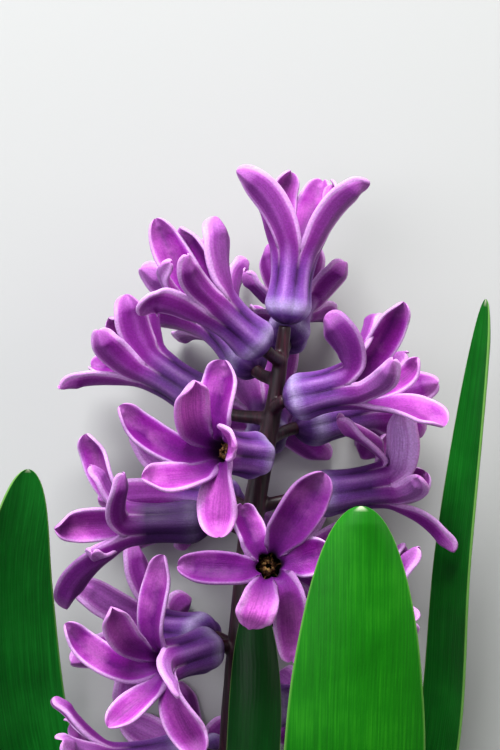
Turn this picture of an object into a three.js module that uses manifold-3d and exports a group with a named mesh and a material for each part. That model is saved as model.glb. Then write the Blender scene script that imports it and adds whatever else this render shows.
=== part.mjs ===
// A picked hyacinth: one purple flower spike with the leaves that were cut off together with it.
// It lies on a surface: the florets at its back and the foot of the leaves carry it.
// Millimetres: x runs right across the flower, y up the scape to the tip, z up from the surface.
// The florets are placed in the head's own frame, with z = 0 at the scape's middle. The whole
// group is moved at the end, so that the middle of its box's underside is the origin.
import * as THREE from 'three';
import Module from 'manifold-3d';

const wasm = await Module();
wasm.setup();

// The florets are placed as they look from above: the eye is this high over the scape, and
// straight over this point of it.
const EYE_HEIGHT = 430;
const EYE_OVER = 75;

// Floret: a tube with a swollen base, a slight waist and six lobes that spread at its mouth.
const LOBES = 6;
const TUBE_LENGTH = 16;
const TUBE_RADIUS = 4.6;
const BULGE_HEIGHT = 5;
const BULGE_ROUNDING = 0.95;
const WAIST = 0.5;
const RIB = 0.05;
const WALL = 1;

// Lobe: half its width at the root and at the widest, its thickness in the middle and at the rim,
// the depth of its channel as a share of its half width, the shape of its outline, and how far it
// leans out where it leaves the tube, in degrees.
const LOBE_LENGTH = 17;
const LOBE_ROOT_HALF = 1.9;
const LOBE_HALF = 3.8;
const LOBE_THICK = 1.25;
const LOBE_EDGE = 0.9;
const LOBE_CHANNEL = 0.34;
const CHANNEL_FLOOR = 0.4;
const LOBE_SWELL = 0.8;
const LOBE_SWELL_POWER = 2.4;
const LOBE_TAPER_FROM = 0.5;
const LOBE_TAPER = 0.93;
const LOBE_TAPER_POWER = 2.2;
const LOBE_FULL_AT = 0.3;
const FLARE = 14;

// A lobe's midline is a cubic curve. Its two handles are these shares of the way from root to tip.
const ROOT_HANDLE = 0.3;
const TIP_HANDLE = 0.36;
const LINE_SAMPLES = 48;

// Inside the tube: a pistil on the floor, and an anther on the wall below each lobe.
const FLOOR = 2.4;
const PISTIL_RADIUS = 1.3;
const PISTIL_HEIGHT = 7;
const STIGMA_TOP = 8;
const ANTHER_DEPTH = 1.3;
const ANTHER_BELOW_MOUTH = 3.4;

// A floret's foot stands this far off the end of its pedicel.
const SEAT_GAP = 0.3;
const PEDICEL_RADIUS = 1.25;
const PEDICEL_LEAVES_BELOW = 2;
const PEDICEL_STEPS = 3;
const PEDICEL_SIDES = 6;

const degrees = (angle) => angle * Math.PI / 180;
const vec = (p) => new THREE.Vector3(p[0], p[1], p[2]);

// A point that looks to be x across and y up in the view from above, z over the scape.
function seen(x, y, z) {
  const shrink = (EYE_HEIGHT - z) / EYE_HEIGHT;
  return new THREE.Vector3(x * shrink, EYE_OVER + (y - EYE_OVER) * shrink, z);
}

// Posed florets: where the tube starts and where its mouth is, how far the lobes are turned round
// it, and the tips of the lobes, in order round the mouth. After a tip's place come how much the
// lobe rolls back and how much it twists, in degrees, and for some lobes how many times as high
// they arch and as wide they are as the others.
const POSED = {
  floret_top: {
    base: [7.2, 85.2, 0], mouth: [8.8, 98.4, -1], turn: 0,
    tips: [[17.6, 112.6, -9, 30, 0], [14.6, 112.8, -14, 20, 0], [7.4, 115.6, -10, 15, 0],
      [1, 112, -9, 30, 0], [-2.8, 115.6, 6, 40, 0, 0.9, 0.92], [23.8, 112.4, 5, 60, 0, 0.8, 0.92]],
  },
  floret_upper_left: {
    base: [3.2, 79.8, 5], mouth: [-6, 88, 8.6], turn: 20,
    tips: [[-6.2, 106.8, 13, 10, -30, 1, 1.1], [-12.8, 104.8, 4, 15, 0, 1, 0.75],
      [-18.8, 106, 3, 15, 0], [-17, 97.6, 20, 50, 0, 1, 0.7], [-21.2, 86.4, 15, 90, 30, 1.3],
      [-11.8, 98, 22, 50, 0, 1, 0.75]],
  },
  floret_left: {
    base: [-6.6, 68.2, -5], mouth: [-19, 76.2, -9], turn: 0,
    tips: [[-24.4, 91, -3, 15, 0], [-18.4, 90.4, -12, 25, 0], [-28, 87, -14, 20, 0],
      [-31, 76, -22, 30, 0], [-36.8, 71.6, -8, 60, 20], [-30.4, 83.2, -1, 30, 0]],
  },
  floret_centre: {
    base: [3.2, 58.6, 5.4], mouth: [-6.4, 59.8, 17], turn: 0,
    tips: [[-2, 61, 30, 60, 0], [-4.6, 77.6, 17, 15, 15, 1, 1.2], [-11.4, 74.6, 27, 15, 0],
      [-26.6, 68.2, 19, 25, 0], [-21.8, 53.8, 25, 25, -45], [-6.2, 43, 21, 25, -85, 1, 1.2]],
  },
  floret_mid_left: {
    base: [-7.6, 45.8, -3], mouth: [-23.4, 45.2, -4], turn: 30,
    tips: [[-30.6, 57.2, 2, 20, 0, 1, 0.75], [-32.2, 63.4, -8, 15, 40], [-39.6, 44.6, -6, 25, -20],
      [-31.8, 38.2, 4, 35, 0, 1, 0.7], [-36.4, 27.6, -8, 50, 20, 1, 0.9],
      [-24.4, 54.4, 9, 30, 0, 1, 0.75]],
  },
  floret_low_front: {
    base: [2.2, 36.4, 5], mouth: [4, 36.9, 20], turn: 14,
    tips: [[15.6, 39.6, 21, 30, 0], [14.6, 55.4, 22, 20, 0, 1, 1.15], [-1.8, 48.2, 16, 15, 0, 0.8, 0.9],
      [-14, 36.6, 21, 25, 0, 1, 0.9], [1.3, 30.4, 12, 70, 42, 2.8], [8.6, 18.8, 12, 20, 0]],
  },
  floret_low_left: {
    base: [-6.4, 21, 2], mouth: [-17.4, 17.4, 12], turn: 0,
    tips: [[-13.4, 11.6, 26, 60, 0, 1, 0.7], [-16.6, 38.8, 15, 20, 10, 1, 0.9],
      [-28, 29.2, 22, 20, 0, 1, 0.85], [-37.4, 25, 13, 25, 0, 1, 0.9],
      [-28.2, 4.6, 17, 25, -45, 1, 0.85], [-9.6, 0, 15, 25, -80, 1, 1.1]],
  },
  floret_upper_right: {
    base: [6.8, 69.8, 4], mouth: [19.4, 72.8, 6.6], turn: 0,
    tips: [[34.2, 78.4, 4, 40, 0, 1, 0.75], [30.4, 90, 6, 10, 0], [24, 87.6, -4, 20, 0, 1, 0.8],
      [14.6, 86.2, 14, 50, 50, 1, 1.1], [28, 77.2, 22, 40, 0, 1, 0.7],
      [38.2, 64.2, 10, 40, 45, 1, 1.15]],
  },
  floret_mid_right: {
    base: [10.6, 50.6, -2], mouth: [26.2, 53, -6], turn: 0,
    tips: [[35.2, 55.4, -14, 30, 0], [25.4, 62.6, -13, 20, 0], [17, 65, 2, 20, 40, 1, 1.1],
      [29.4, 67.6, 3, 20, 0, 1, 1.1], [33, 53.6, 6, 60, 0, 1, 0.75],
      [39.8, 39.4, -4, 40, -30, 1, 0.85]],
  },
  floret_rear_right: {
    base: [9, 64.4, -7], mouth: [22.6, 67.8, -15], turn: 0,
    tips: [[20, 66, -28, 30, 0], [22, 81, -22, 20, 0], [30, 80, -12, 30, 0], [37, 73.6, -12, 40, 0],
      [34.4, 62.2, -16, 30, 0], [22, 58, -27, 30, 0]],
  },
  floret_crown: {
    base: [7, 81, -5.4], mouth: [8.6, 88.6, -17.6], turn: 0,
    tips: [[-1.8, 94.6, -15, 20, 0], [3, 101, -20, 20, 0], [13, 102, -20, 20, 0],
      [19.4, 96.8, -15, 20, 0], [17, 86, -28, 30, 0], [0, 87, -28, 30, 0]],
  },
};

// Florets at the back and low down: the height of the foot along the scape, its bearing round the
// scape (0 towards the eye, 90 to the right), how far the tube rises from level, how far the foot
// is from the scape's middle, how far the lobes spread from the tube's line, and how far they are
// turned round it. Millimetres and degrees.
const PLAIN = {
  floret_back_1: { height: 71, bearing: -143, rise: 37, reach: 8, spread: 40, turn: -12 },
  floret_back_2: { height: 60, bearing: 178, rise: 16, reach: 6, spread: 50, turn: 50 },
  floret_back_3: { height: 49, bearing: -146, rise: 2, reach: 7, spread: 46, turn: 40 },
  floret_back_4: { height: 36, bearing: 156, rise: 0, reach: 6, spread: 52, turn: 50 },
  floret_low_back: { height: 22, bearing: -134, rise: 0, reach: 7, spread: 55, turn: 15 },
  floret_low_right: { height: 26, bearing: 90, rise: 0, reach: 7, spread: 58, turn: 25 },
  floret_foot_right: { height: 8, bearing: 140, rise: -4, reach: 7, spread: 58, turn: 45 },
  floret_foot_left: { height: 0, bearing: -85, rise: -8, reach: 7, spread: 58, turn: 5 },
  floret_foot_back: { height: -2, bearing: -160, rise: -8, reach: 6.5, spread: 50, turn: 20 },
  floret_foot_front: { height: -4, bearing: 90, rise: -8, reach: 6.5, spread: 50, turn: 20 },
};
// Their lobes are drawn by chance within these spreads. The surface presses up what hangs lower
// than LOWEST_TIP.
const DRAW_SEED = 7;
const DRAW = { turn: 6, spread: 9, length: 0.05, recurve: 10, twist: 12 };
const PLAIN_LENGTH = 0.94 * LOBE_LENGTH;
const PLAIN_RECURVE = 30;
const LOWEST_TIP = -28;

// The scape's middle, from the cut end to its tip, as x and y. It is level in the head and sinks
// to the surface below it. Its radius falls slowly to SCAPE_TAPER_FROM of its length, then faster.
const SCAPE = [[-4, -112], [-4.8, -70], [-4.6, -35], [-3.6, 0], [-2.6, 15], [-1.2, 30], [0.4, 46],
  [3, 60], [5, 70], [7, 84.8]];
const SCAPE_FOOT = SCAPE[0][1];
const SCAPE_TIP = SCAPE[SCAPE.length - 1][1];
const SCAPE_LEVEL_FROM = 25;
const SCAPE_FOOT_DROP = 23;
const SCAPE_FOOT_RADIUS = 3.3;
const SCAPE_HEAD_RADIUS = 2.4;
const SCAPE_TIP_RADIUS = 1.3;
const SCAPE_TAPER_FROM = 0.8;
const SCAPE_STEPS = 18;
const SCAPE_SIDES = 10;

// Leaves: the bearing on which the foot clasps the scape, the midrib's points above it, the way
// the inner face looks at the foot, half way and at the tip, half the width, the radius and half
// angle with which the foot hugs the scape, and where along the leaf it starts to taper.
const LEAVES = {
  leaf_left: {
    clasps: -94,
    midrib: [[-12.4, -86, -23], [-20, -68, -23], [-33, -40, -22.5], [-45, -5, -18], [-48, 30, -10],
      [-44.8, 56, -4]],
    faces: [[1, 0, 0], [0.8, 0, 1], [0.35, 0, 1]],
    half: 9, wrap: 5.9, hug: 78, taper: 0.72,
  },
  leaf_right: {
    clasps: 94,
    midrib: [[3.6, -86, -23], [11.6, -68, -23], [26, -40, -22.5], [39, -5, -18], [42, 40, -8],
      [47.2, 90.2, 0]],
    faces: [[-1, 0, 0], [-1, 0, 0.6], [-1, 0, 0.65]],
    half: 7.5, wrap: 5.9, hug: 78, taper: 0.6,
  },
  leaf_front: {
    clasps: 6,
    midrib: [[-2.6, -86, -10.5], [0, -74, -4], [9, -44, 15], [18, -8, 33], [19.6, 20, 39],
      [20.1, 51.3, 41]],
    faces: [[-0.1, 0, -1], [-0.1, 0, -1], [0, 0.1, -1]],
    half: 13.3, wrap: 8.1, hug: 36, taper: 0.75,
  },
  leaf_centre: {
    clasps: 0,
    midrib: [[-4.2, -86, -16], [-3.4, -70, -11], [-1.6, -40, 0], [0, -10, 6], [1, 10, 7.4],
      [1, 31, 4.6]],
    faces: [[0, 0, -1], [0, 0, -1], [0, 0, -1]],
    half: 5.2, wrap: 3.7, hug: 70, taper: 0.82,
  },
};
const LEAF_CLASP_TOP = -99;
const LEAF_THICK = 1.5;
const LEAF_EDGE = 0.8;
const LEAF_OPEN_FROM = 0.17;
const LEAF_OPEN_AT = 0.55;
const LEAF_OPEN_HUG = 22;
const LEAF_ROWS = 16;
const LEAF_COLUMNS = 4;
const LEAF_TIP_SHARE = 0.12;

const PETAL = new THREE.MeshStandardMaterial({ color: 0x9a45a8, roughness: 0.45, metalness: 0 });
const STEM = new THREE.MeshStandardMaterial({ color: 0x3a1a20, roughness: 0.6, metalness: 0 });
const LEAF = new THREE.MeshStandardMaterial({ color: 0x1f6b22, roughness: 0.5, metalness: 0 });

// A closed mesh from numbered corners. Corners that are given the same key are one corner.
class Shell {
  constructor() {
    this.corners = [];
    this.keys = new Map();
    this.faces = [];
  }

  corner(key, point) {
    if (!this.keys.has(key)) {
      this.keys.set(key, this.corners.length);
      this.corners.push(point);
    }
    return this.keys.get(key);
  }

  // A quad split in two. It is split along its first diagonal unless other is true.
  quad(a, b, c, d, other = false) {
    if (other) this.faces.push([a, b, d], [b, c, d]);
    else this.faces.push([a, b, c], [a, c, d]);
  }

  geometry() {
    const geometry = new THREE.BufferGeometry();
    const flat = this.corners.flatMap((p) => [p.x, p.y, p.z]);
    geometry.setAttribute('position', new THREE.Float32BufferAttribute(flat, 3));
    geometry.setIndex(this.faces.flat());
    return geometry;
  }
}

// The tube's radius at a height above its base.
function tubeRadius(height) {
  if (height < BULGE_HEIGHT) {
    const drop = (BULGE_HEIGHT - height) / BULGE_HEIGHT;
    return TUBE_RADIUS * Math.sqrt(1 - BULGE_ROUNDING * drop * drop);
  }
  const along = (height - BULGE_HEIGHT) / (TUBE_LENGTH - BULGE_HEIGHT);
  return TUBE_RADIUS - WAIST * Math.sin(Math.PI * along);
}

// Half a lobe's width, from its root at 0 to its tip at 1.
function lobeHalf(along) {
  const swell = Math.sin(Math.PI * LOBE_SWELL * along) ** LOBE_SWELL_POWER;
  const body = LOBE_ROOT_HALF + (LOBE_HALF - LOBE_ROOT_HALF) * swell;
  const end = Math.max(0, (along - LOBE_TAPER_FROM) / (1 - LOBE_TAPER_FROM));
  return body * Math.sqrt(1 - LOBE_TAPER * end ** LOBE_TAPER_POWER);
}

// The three directions of a floret: across its mouth, up its mouth, and out along its tube.
function floretFrame(base, mouth) {
  const out = mouth.clone().sub(base).normalize();
  const lean = new THREE.Vector3(0, Math.cos(degrees(30)), -Math.sin(degrees(30)));
  const up = lean.addScaledVector(out, -lean.dot(out)).normalize();
  const across = new THREE.Vector3().crossVectors(up, out);
  return { across, up, out };
}

// A lobe's midline: a curve that leaves the mouth along the tube, flares and ends at the tip. It
// gives the point, the inner face's normal and the sideways direction at each step.
function lobeLine(root, radial, out, { tip, recurve, twist, arch }, steps) {
  const flare = degrees(FLARE);
  const start = out.clone().multiplyScalar(Math.cos(flare)).addScaledVector(radial, Math.sin(flare));
  const chord = tip.clone().sub(root);
  const reach = chord.length();
  chord.normalize();
  const away = chord.clone().multiplyScalar(chord.dot(start)).sub(start);
  if (away.length() < 0.05) away.copy(radial);
  away.addScaledVector(chord, -away.dot(chord)).normalize();
  const end = chord.clone().multiplyScalar(Math.cos(degrees(recurve)));
  end.addScaledVector(away, Math.sin(degrees(recurve)));
  const curve = new THREE.CubicBezierCurve3(
    root,
    root.clone().addScaledVector(start, reach * arch * ROOT_HANDLE),
    tip.clone().addScaledVector(end, -reach * arch * TIP_HANDLE),
    tip,
  );
  const inward = radial.clone().multiplyScalar(-Math.cos(flare)).addScaledVector(out, Math.sin(flare));
  const samples = [];
  let normal = inward;
  for (let i = 0; i <= LINE_SAMPLES; i += 1) {
    const along = i / LINE_SAMPLES;
    const direction = curve.getTangent(along);
    normal = normal.clone().addScaledVector(direction, -normal.dot(direction)).normalize();
    samples.push({ point: curve.getPoint(along), direction, normal });
  }
  return steps.map((along) => {
    const at = samples[Math.round(along * LINE_SAMPLES)];
    const side = new THREE.Vector3().crossVectors(at.normal, at.direction);
    const turn = degrees(twist) * along;
    const [near, far] = [Math.cos(turn), Math.sin(turn)];
    const sideways = side.clone().multiplyScalar(near).addScaledVector(at.normal, far);
    const face = at.normal.clone().multiplyScalar(near).addScaledVector(side, -far);
    return { point: at.point, normal: face, sideways };
  });
}

const TUBE_ROWS = [0, 1.4, 5, 10, TUBE_LENGTH];
const LOBE_ROWS = [0.2, 0.45, 0.7, 0.9, 1];
const INNER_ROWS = [
  { height: TUBE_LENGTH - ANTHER_BELOW_MOUTH, anther: ANTHER_DEPTH },
  { height: TUBE_LENGTH - 2.2 * ANTHER_BELOW_MOUTH, anther: 0 },
  { height: FLOOR, anther: 0 },
];
const PISTIL_ROWS = [
  { radius: PISTIL_RADIUS, height: FLOOR },
  { radius: 0.7 * PISTIL_RADIUS, height: PISTIL_HEIGHT },
];

// A floret as one solid: tube, pistil, anthers and six lobes.
function floret({ foot, throat, turn, tips }) {
  const { across, up, out } = floretFrame(foot, throat);
  const length = throat.distanceTo(foot);
  const shell = new Shell();
  const place = (angle, radius, height) => foot.clone()
    .addScaledVector(across, radius * Math.cos(angle))
    .addScaledVector(up, radius * Math.sin(angle))
    .addScaledVector(out, height * length / TUBE_LENGTH);
  const half = Math.PI / LOBES;
  const columns = [-1, 0, 1];
  const middle = shell.corner('foot', place(0, 0, 0));
  const stigma = shell.corner('stigma', place(0, 0, STIGMA_TOP));
  for (let k = 0; k < LOBES; k += 1) {
    const angle = degrees(turn) + 2 * half * k;
    const radial = across.clone().multiplyScalar(Math.cos(angle)).addScaledVector(up, Math.sin(angle));
    const keyOf = (side, row, t) => {
      const next = (k + 1) % LOBES;
      return t === 1 ? `${side}${row}:${next}:-1` : `${side}${row}:${k}:${t}`;
    };
    const rib = (t) => 1 + RIB * Math.cos(Math.PI * t);
    const outer = TUBE_ROWS.map((height, row) => columns.map((t) => shell.corner(
      keyOf('o', row, t),
      place(angle + half * t, tubeRadius(height) * rib(t), height),
    )));
    const inner = [columns.map((t) => shell.corner(
      keyOf('m', 0, t),
      place(angle + half * t, tubeRadius(TUBE_LENGTH) * rib(t) - WALL, TUBE_LENGTH),
    ))];
    INNER_ROWS.forEach(({ height, anther }, row) => inner.push(columns.map((t) => shell.corner(
      keyOf('n', row, t),
      place(angle + half * t, tubeRadius(height) - WALL - (t === 0 ? anther : 0), height),
    ))));
    PISTIL_ROWS.forEach(({ radius, height }, row) => inner.push(columns.map((t) => shell.corner(
      keyOf('p', row, t),
      place(angle + half * t, radius, height),
    ))));
    for (let row = 0; row < outer.length - 1; row += 1) {
      for (let j = 0; j < 2; j += 1) {
        shell.quad(outer[row][j], outer[row][j + 1], outer[row + 1][j + 1], outer[row + 1][j], j === 1);
      }
    }
    for (let row = 0; row < inner.length - 1; row += 1) {
      for (let j = 0; j < 2; j += 1) {
        shell.quad(inner[row][j], inner[row][j + 1], inner[row + 1][j + 1], inner[row + 1][j], j === 1);
      }
    }
    for (let j = 0; j < 2; j += 1) {
      shell.faces.push([middle, outer[0][j + 1], outer[0][j]]);
      shell.faces.push([inner[inner.length - 1][j], inner[inner.length - 1][j + 1], stigma]);
    }
    const root = place(angle, tubeRadius(TUBE_LENGTH) - WALL / 2, TUBE_LENGTH);
    const line = lobeLine(root, radial, out, tips[k], LOBE_ROWS);
    const rows = [{ o: outer[outer.length - 1], i: inner[0] }];
    line.forEach(({ point, normal, sideways }, row) => {
      const along = LOBE_ROWS[row];
      const fuller = (tips[k].width - 1) * THREE.MathUtils.smoothstep(along, 0, LOBE_FULL_AT);
      const wide = lobeHalf(along) * (1 + fuller);
      const cup = LOBE_CHANNEL * wide * Math.min(1, along * 1.6);
      const thick = WALL + (LOBE_THICK - WALL) * Math.sin(Math.PI * along);
      const cornerAt = (side, t) => {
        const deep = cup * (t * t - CHANNEL_FLOOR);
        const skin = (thick + (LOBE_EDGE - thick) * t * t) / 2;
        return shell.corner(`${side}${row}:${k}:${t}:lobe`, point.clone()
          .addScaledVector(sideways, wide * t)
          .addScaledVector(normal, deep + (side === 'i' ? skin : -skin)));
      };
      rows.push({ o: columns.map((t) => cornerAt('o', t)), i: columns.map((t) => cornerAt('i', t)) });
    });
    for (let row = 0; row < rows.length - 1; row += 1) {
      const [low, high] = [rows[row], rows[row + 1]];
      for (let j = 0; j < 2; j += 1) {
        shell.quad(low.o[j], low.o[j + 1], high.o[j + 1], high.o[j], j === 1);
        shell.quad(high.i[j], high.i[j + 1], low.i[j + 1], low.i[j], j === 0);
      }
      shell.quad(low.i[0], low.o[0], high.o[0], high.i[0]);
      shell.quad(low.o[2], low.i[2], high.i[2], high.o[2]);
    }
    const last = rows[rows.length - 1];
    for (let j = 0; j < 2; j += 1) shell.quad(last.o[j], last.o[j + 1], last.i[j + 1], last.i[j]);
  }
  return shell.geometry();
}

// The scape's middle line: level in the head, sinking below it, and level again at the cut end.
const scapeCurve = new THREE.CatmullRomCurve3(SCAPE.map(([x, y]) => {
  const below = THREE.MathUtils.smoothstep(-y, -SCAPE_LEVEL_FROM, -SCAPE_FOOT);
  return new THREE.Vector3(x, y, -SCAPE_FOOT_DROP * below);
}), false, 'catmullrom', 0.5);

// The scape's middle at a height up it, found by halving.
function scapeAt(height) {
  let low = 0;
  let high = 1;
  for (let i = 0; i < 30; i += 1) {
    const middle = (low + high) / 2;
    if (scapeCurve.getPoint(middle).y < height) low = middle;
    else high = middle;
  }
  return scapeCurve.getPoint(low);
}

// A solid of round section along a list of points, with a radius at each.
function rod(curve, steps, radiusAt, sides) {
  const shell = new Shell();
  let across = new THREE.Vector3(1, 0, 0);
  const rings = Array.from({ length: steps + 1 }, (_, i) => {
    const point = curve.getPoint(i / steps);
    const along = curve.getTangent(i / steps);
    const radius = radiusAt(point);
    if (i === 0 && Math.abs(along.x) > 0.9) across = new THREE.Vector3(0, 0, 1);
    across = across.clone().addScaledVector(along, -across.dot(along)).normalize();
    const beside = new THREE.Vector3().crossVectors(along, across);
    return Array.from({ length: sides }, (__, j) => {
      const angle = 2 * Math.PI * j / sides;
      return shell.corner(`${i}:${j}`, point.clone()
        .addScaledVector(across, radius * Math.cos(angle))
        .addScaledVector(beside, radius * Math.sin(angle)));
    });
  });
  for (let j = 0; j < sides; j += 1) {
    const next = (j + 1) % sides;
    for (let i = 0; i < rings.length - 1; i += 1) {
      shell.quad(rings[i][j], rings[i][next], rings[i + 1][next], rings[i + 1][j]);
    }
    if (j > 0 && next > 0) {
      shell.faces.push([rings[0][0], rings[0][next], rings[0][j]]);
      const top = rings[rings.length - 1];
      shell.faces.push([top[0], top[j], top[next]]);
    }
  }
  return shell.geometry();
}

// A strap leaf: it wraps the scape at its foot, opens to a shallow channel and tapers to its tip.
function leaf({ clasps, midrib, faces, half, wrap, hug, taper }) {
  const outward = new THREE.Vector3(Math.sin(degrees(clasps)), 0, Math.cos(degrees(clasps)));
  const clasp = [SCAPE_FOOT, LEAF_CLASP_TOP].map(
    (height) => scapeAt(height).addScaledVector(outward, wrap),
  );
  const curve = new THREE.CatmullRomCurve3([...clasp, ...midrib.map(vec)], false, 'catmullrom', 0.5);
  const shell = new Shell();
  const rows = [];
  for (let i = 0; i <= LEAF_ROWS; i += 1) {
    const along = i / LEAF_ROWS;
    const point = curve.getPoint(along);
    const direction = curve.getTangent(along);
    const part = Math.min(1.999, along * 2);
    const [from, to] = [vec(faces[Math.floor(part)]), vec(faces[Math.floor(part) + 1])];
    const face = from.lerp(to, part % 1);
    face.addScaledVector(direction, -face.dot(direction)).normalize();
    const side = new THREE.Vector3().crossVectors(face, direction);
    const free = THREE.MathUtils.smoothstep(along, LEAF_OPEN_FROM, LEAF_OPEN_AT);
    const footHalf = wrap * degrees(hug);
    const narrow = Math.max(0, (along - taper) / (1 - taper));
    const ending = Math.sqrt(Math.max(LEAF_TIP_SHARE ** 2, 1 - narrow ** 2));
    const wide = (footHalf + (half - footHalf) * free) * ending;
    const channel = degrees(hug + (LEAF_OPEN_HUG - hug) * free);
    const radius = wide / channel;
    const edges = {};
    ['outer', 'inner'].forEach((skin) => {
      edges[skin] = Array.from({ length: LEAF_COLUMNS + 1 }, (_, j) => {
        const t = 2 * j / LEAF_COLUMNS - 1;
        const thick = LEAF_THICK + (LEAF_EDGE - LEAF_THICK) * t * t;
        const arc = radius + (skin === 'outer' ? thick : 0);
        return shell.corner(`${skin}${i}:${j}`, point.clone()
          .addScaledVector(side, arc * Math.sin(channel * t))
          .addScaledVector(face, radius - arc * Math.cos(channel * t)));
      });
    });
    rows.push(edges);
  }
  for (let i = 0; i < LEAF_ROWS; i += 1) {
    const [low, high] = [rows[i], rows[i + 1]];
    for (let j = 0; j < LEAF_COLUMNS; j += 1) {
      const other = j >= LEAF_COLUMNS / 2;
      shell.quad(low.outer[j], low.outer[j + 1], high.outer[j + 1], high.outer[j], other);
      shell.quad(high.inner[j], high.inner[j + 1], low.inner[j + 1], low.inner[j], !other);
    }
    const last = LEAF_COLUMNS;
    shell.quad(low.inner[0], low.outer[0], high.outer[0], high.inner[0]);
    shell.quad(low.outer[last], low.inner[last], high.inner[last], high.outer[last]);
  }
  const [first, end] = [rows[0], rows[LEAF_ROWS]];
  for (let j = 0; j < LEAF_COLUMNS; j += 1) {
    shell.quad(first.inner[j], first.inner[j + 1], first.outer[j + 1], first.outer[j]);
    shell.quad(end.outer[j], end.outer[j + 1], end.inner[j + 1], end.inner[j]);
  }
  return shell.geometry();
}

// A solid of the boolean library from a mesh, and a mesh from a solid.
function solid(geometry) {
  const vertProperties = new Float32Array(geometry.attributes.position.array);
  const triVerts = new Uint32Array(geometry.index.array);
  return new wasm.Manifold(new wasm.Mesh({ numProp: 3, vertProperties, triVerts }));
}

function meshed(joined) {
  const { vertProperties, triVerts } = joined.getMesh();
  const geometry = new THREE.BufferGeometry();
  geometry.setAttribute('position', new THREE.BufferAttribute(new Float32Array(vertProperties), 3));
  geometry.setIndex(Array.from(triVerts));
  return geometry;
}

const flower = new THREE.Group();

function add(name, geometry, material) {
  const mesh = new THREE.Mesh(geometry, material);
  mesh.name = name;
  flower.add(mesh);
}

// Where every floret stands, as points: the posed ones as they look, the others by their bearing.
function posedFloret({ base, mouth, turn, tips }) {
  return {
    foot: seen(...base),
    throat: seen(...mouth),
    turn,
    tips: tips.map(([x, y, z, recurve, twist, arch = 1, width = 1]) => (
      { tip: seen(x, y, z), recurve, twist, arch, width }
    )),
  };
}

// A seeded draw between minus and plus the spread.
let draw = DRAW_SEED;
function chance(spread) {
  draw = (Math.imul(draw, 1664525) + 1013904223) >>> 0;
  return spread * (draw / 2147483648 - 1);
}

function plainFloret({ height, bearing, rise, reach, spread, turn }) {
  const out = new THREE.Vector3(
    Math.sin(degrees(bearing)) * Math.cos(degrees(rise)),
    Math.sin(degrees(rise)),
    Math.cos(degrees(bearing)) * Math.cos(degrees(rise)),
  );
  const foot = scapeAt(height).addScaledVector(out, reach);
  const throat = foot.clone().addScaledVector(out, TUBE_LENGTH);
  const { across, up } = floretFrame(foot, throat);
  const tips = Array.from({ length: LOBES }, (_, k) => {
    const angle = degrees(turn + chance(DRAW.turn)) + 2 * Math.PI * k / LOBES;
    const open = degrees(spread + chance(DRAW.spread));
    const length = PLAIN_LENGTH + LOBE_LENGTH * chance(DRAW.length);
    const aside = TUBE_RADIUS - WALL / 2 + length * Math.sin(open);
    const tip = throat.clone()
      .addScaledVector(across, aside * Math.cos(angle))
      .addScaledVector(up, aside * Math.sin(angle))
      .addScaledVector(out, length * Math.cos(open));
    tip.z = Math.max(tip.z, LOWEST_TIP);
    const recurve = PLAIN_RECURVE + chance(DRAW.recurve);
    return { tip, recurve, twist: chance(DRAW.twist), arch: 1, width: 1 };
  });
  return { foot, throat, turn, tips };
}

const florets = {
  ...Object.fromEntries(Object.entries(POSED).map(([name, spec]) => [name, posedFloret(spec)])),
  ...Object.fromEntries(Object.entries(PLAIN).map(([name, spec]) => [name, plainFloret(spec)])),
};

function scapeRadius({ y }) {
  const up = (y - SCAPE_FOOT) / (SCAPE_TIP - SCAPE_FOOT);
  const slow = Math.min(1, up / SCAPE_TAPER_FROM);
  const fast = Math.max(0, (up - SCAPE_TAPER_FROM) / (1 - SCAPE_TAPER_FROM));
  const radius = SCAPE_FOOT_RADIUS + (SCAPE_HEAD_RADIUS - SCAPE_FOOT_RADIUS) * slow;
  return radius + (SCAPE_TIP_RADIUS - radius) * fast;
}

// The scape with a pedicel to each floret. The top floret stands on the scape's own tip.
let scape = solid(rod(scapeCurve, SCAPE_STEPS, scapeRadius, SCAPE_SIDES));
Object.entries(florets).forEach(([name, { foot, throat }]) => {
  if (name === 'floret_top') return;
  const out = throat.clone().sub(foot).normalize();
  const from = scapeAt(foot.y - PEDICEL_LEAVES_BELOW);
  const end = foot.clone().addScaledVector(out, -SEAT_GAP);
  const reach = end.distanceTo(from);
  const bend = new THREE.CubicBezierCurve3(
    from,
    from.clone().lerp(end, 1 / 3),
    end.clone().addScaledVector(out, -reach / 3),
    end,
  );
  scape = scape.add(solid(rod(bend, PEDICEL_STEPS, () => PEDICEL_RADIUS, PEDICEL_SIDES)));
});
add('stem', meshed(scape), STEM);
Object.entries(florets).forEach(([name, spec]) => add(name, floret(spec), PETAL));
Object.entries(LEAVES).forEach(([name, spec]) => add(name, leaf(spec), LEAF));

// The middle of the underside of the flower's box is the origin.
const box = new THREE.Box3().setFromObject(flower);
flower.position.set(-(box.min.x + box.max.x) / 2, -(box.min.y + box.max.y) / 2, -box.min.z);

export default flower;
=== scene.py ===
# %% [markdown]
# # A picked hyacinth
# This lesson dresses a hyacinth that was cut with its leaves and laid on a table. Each floret, leaf
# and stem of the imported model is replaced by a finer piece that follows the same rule, so that it
# keeps its place and form, and that has the rims, grooves and veins which faceted solids can't carry.

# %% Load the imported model
import math
from functools import partial

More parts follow.
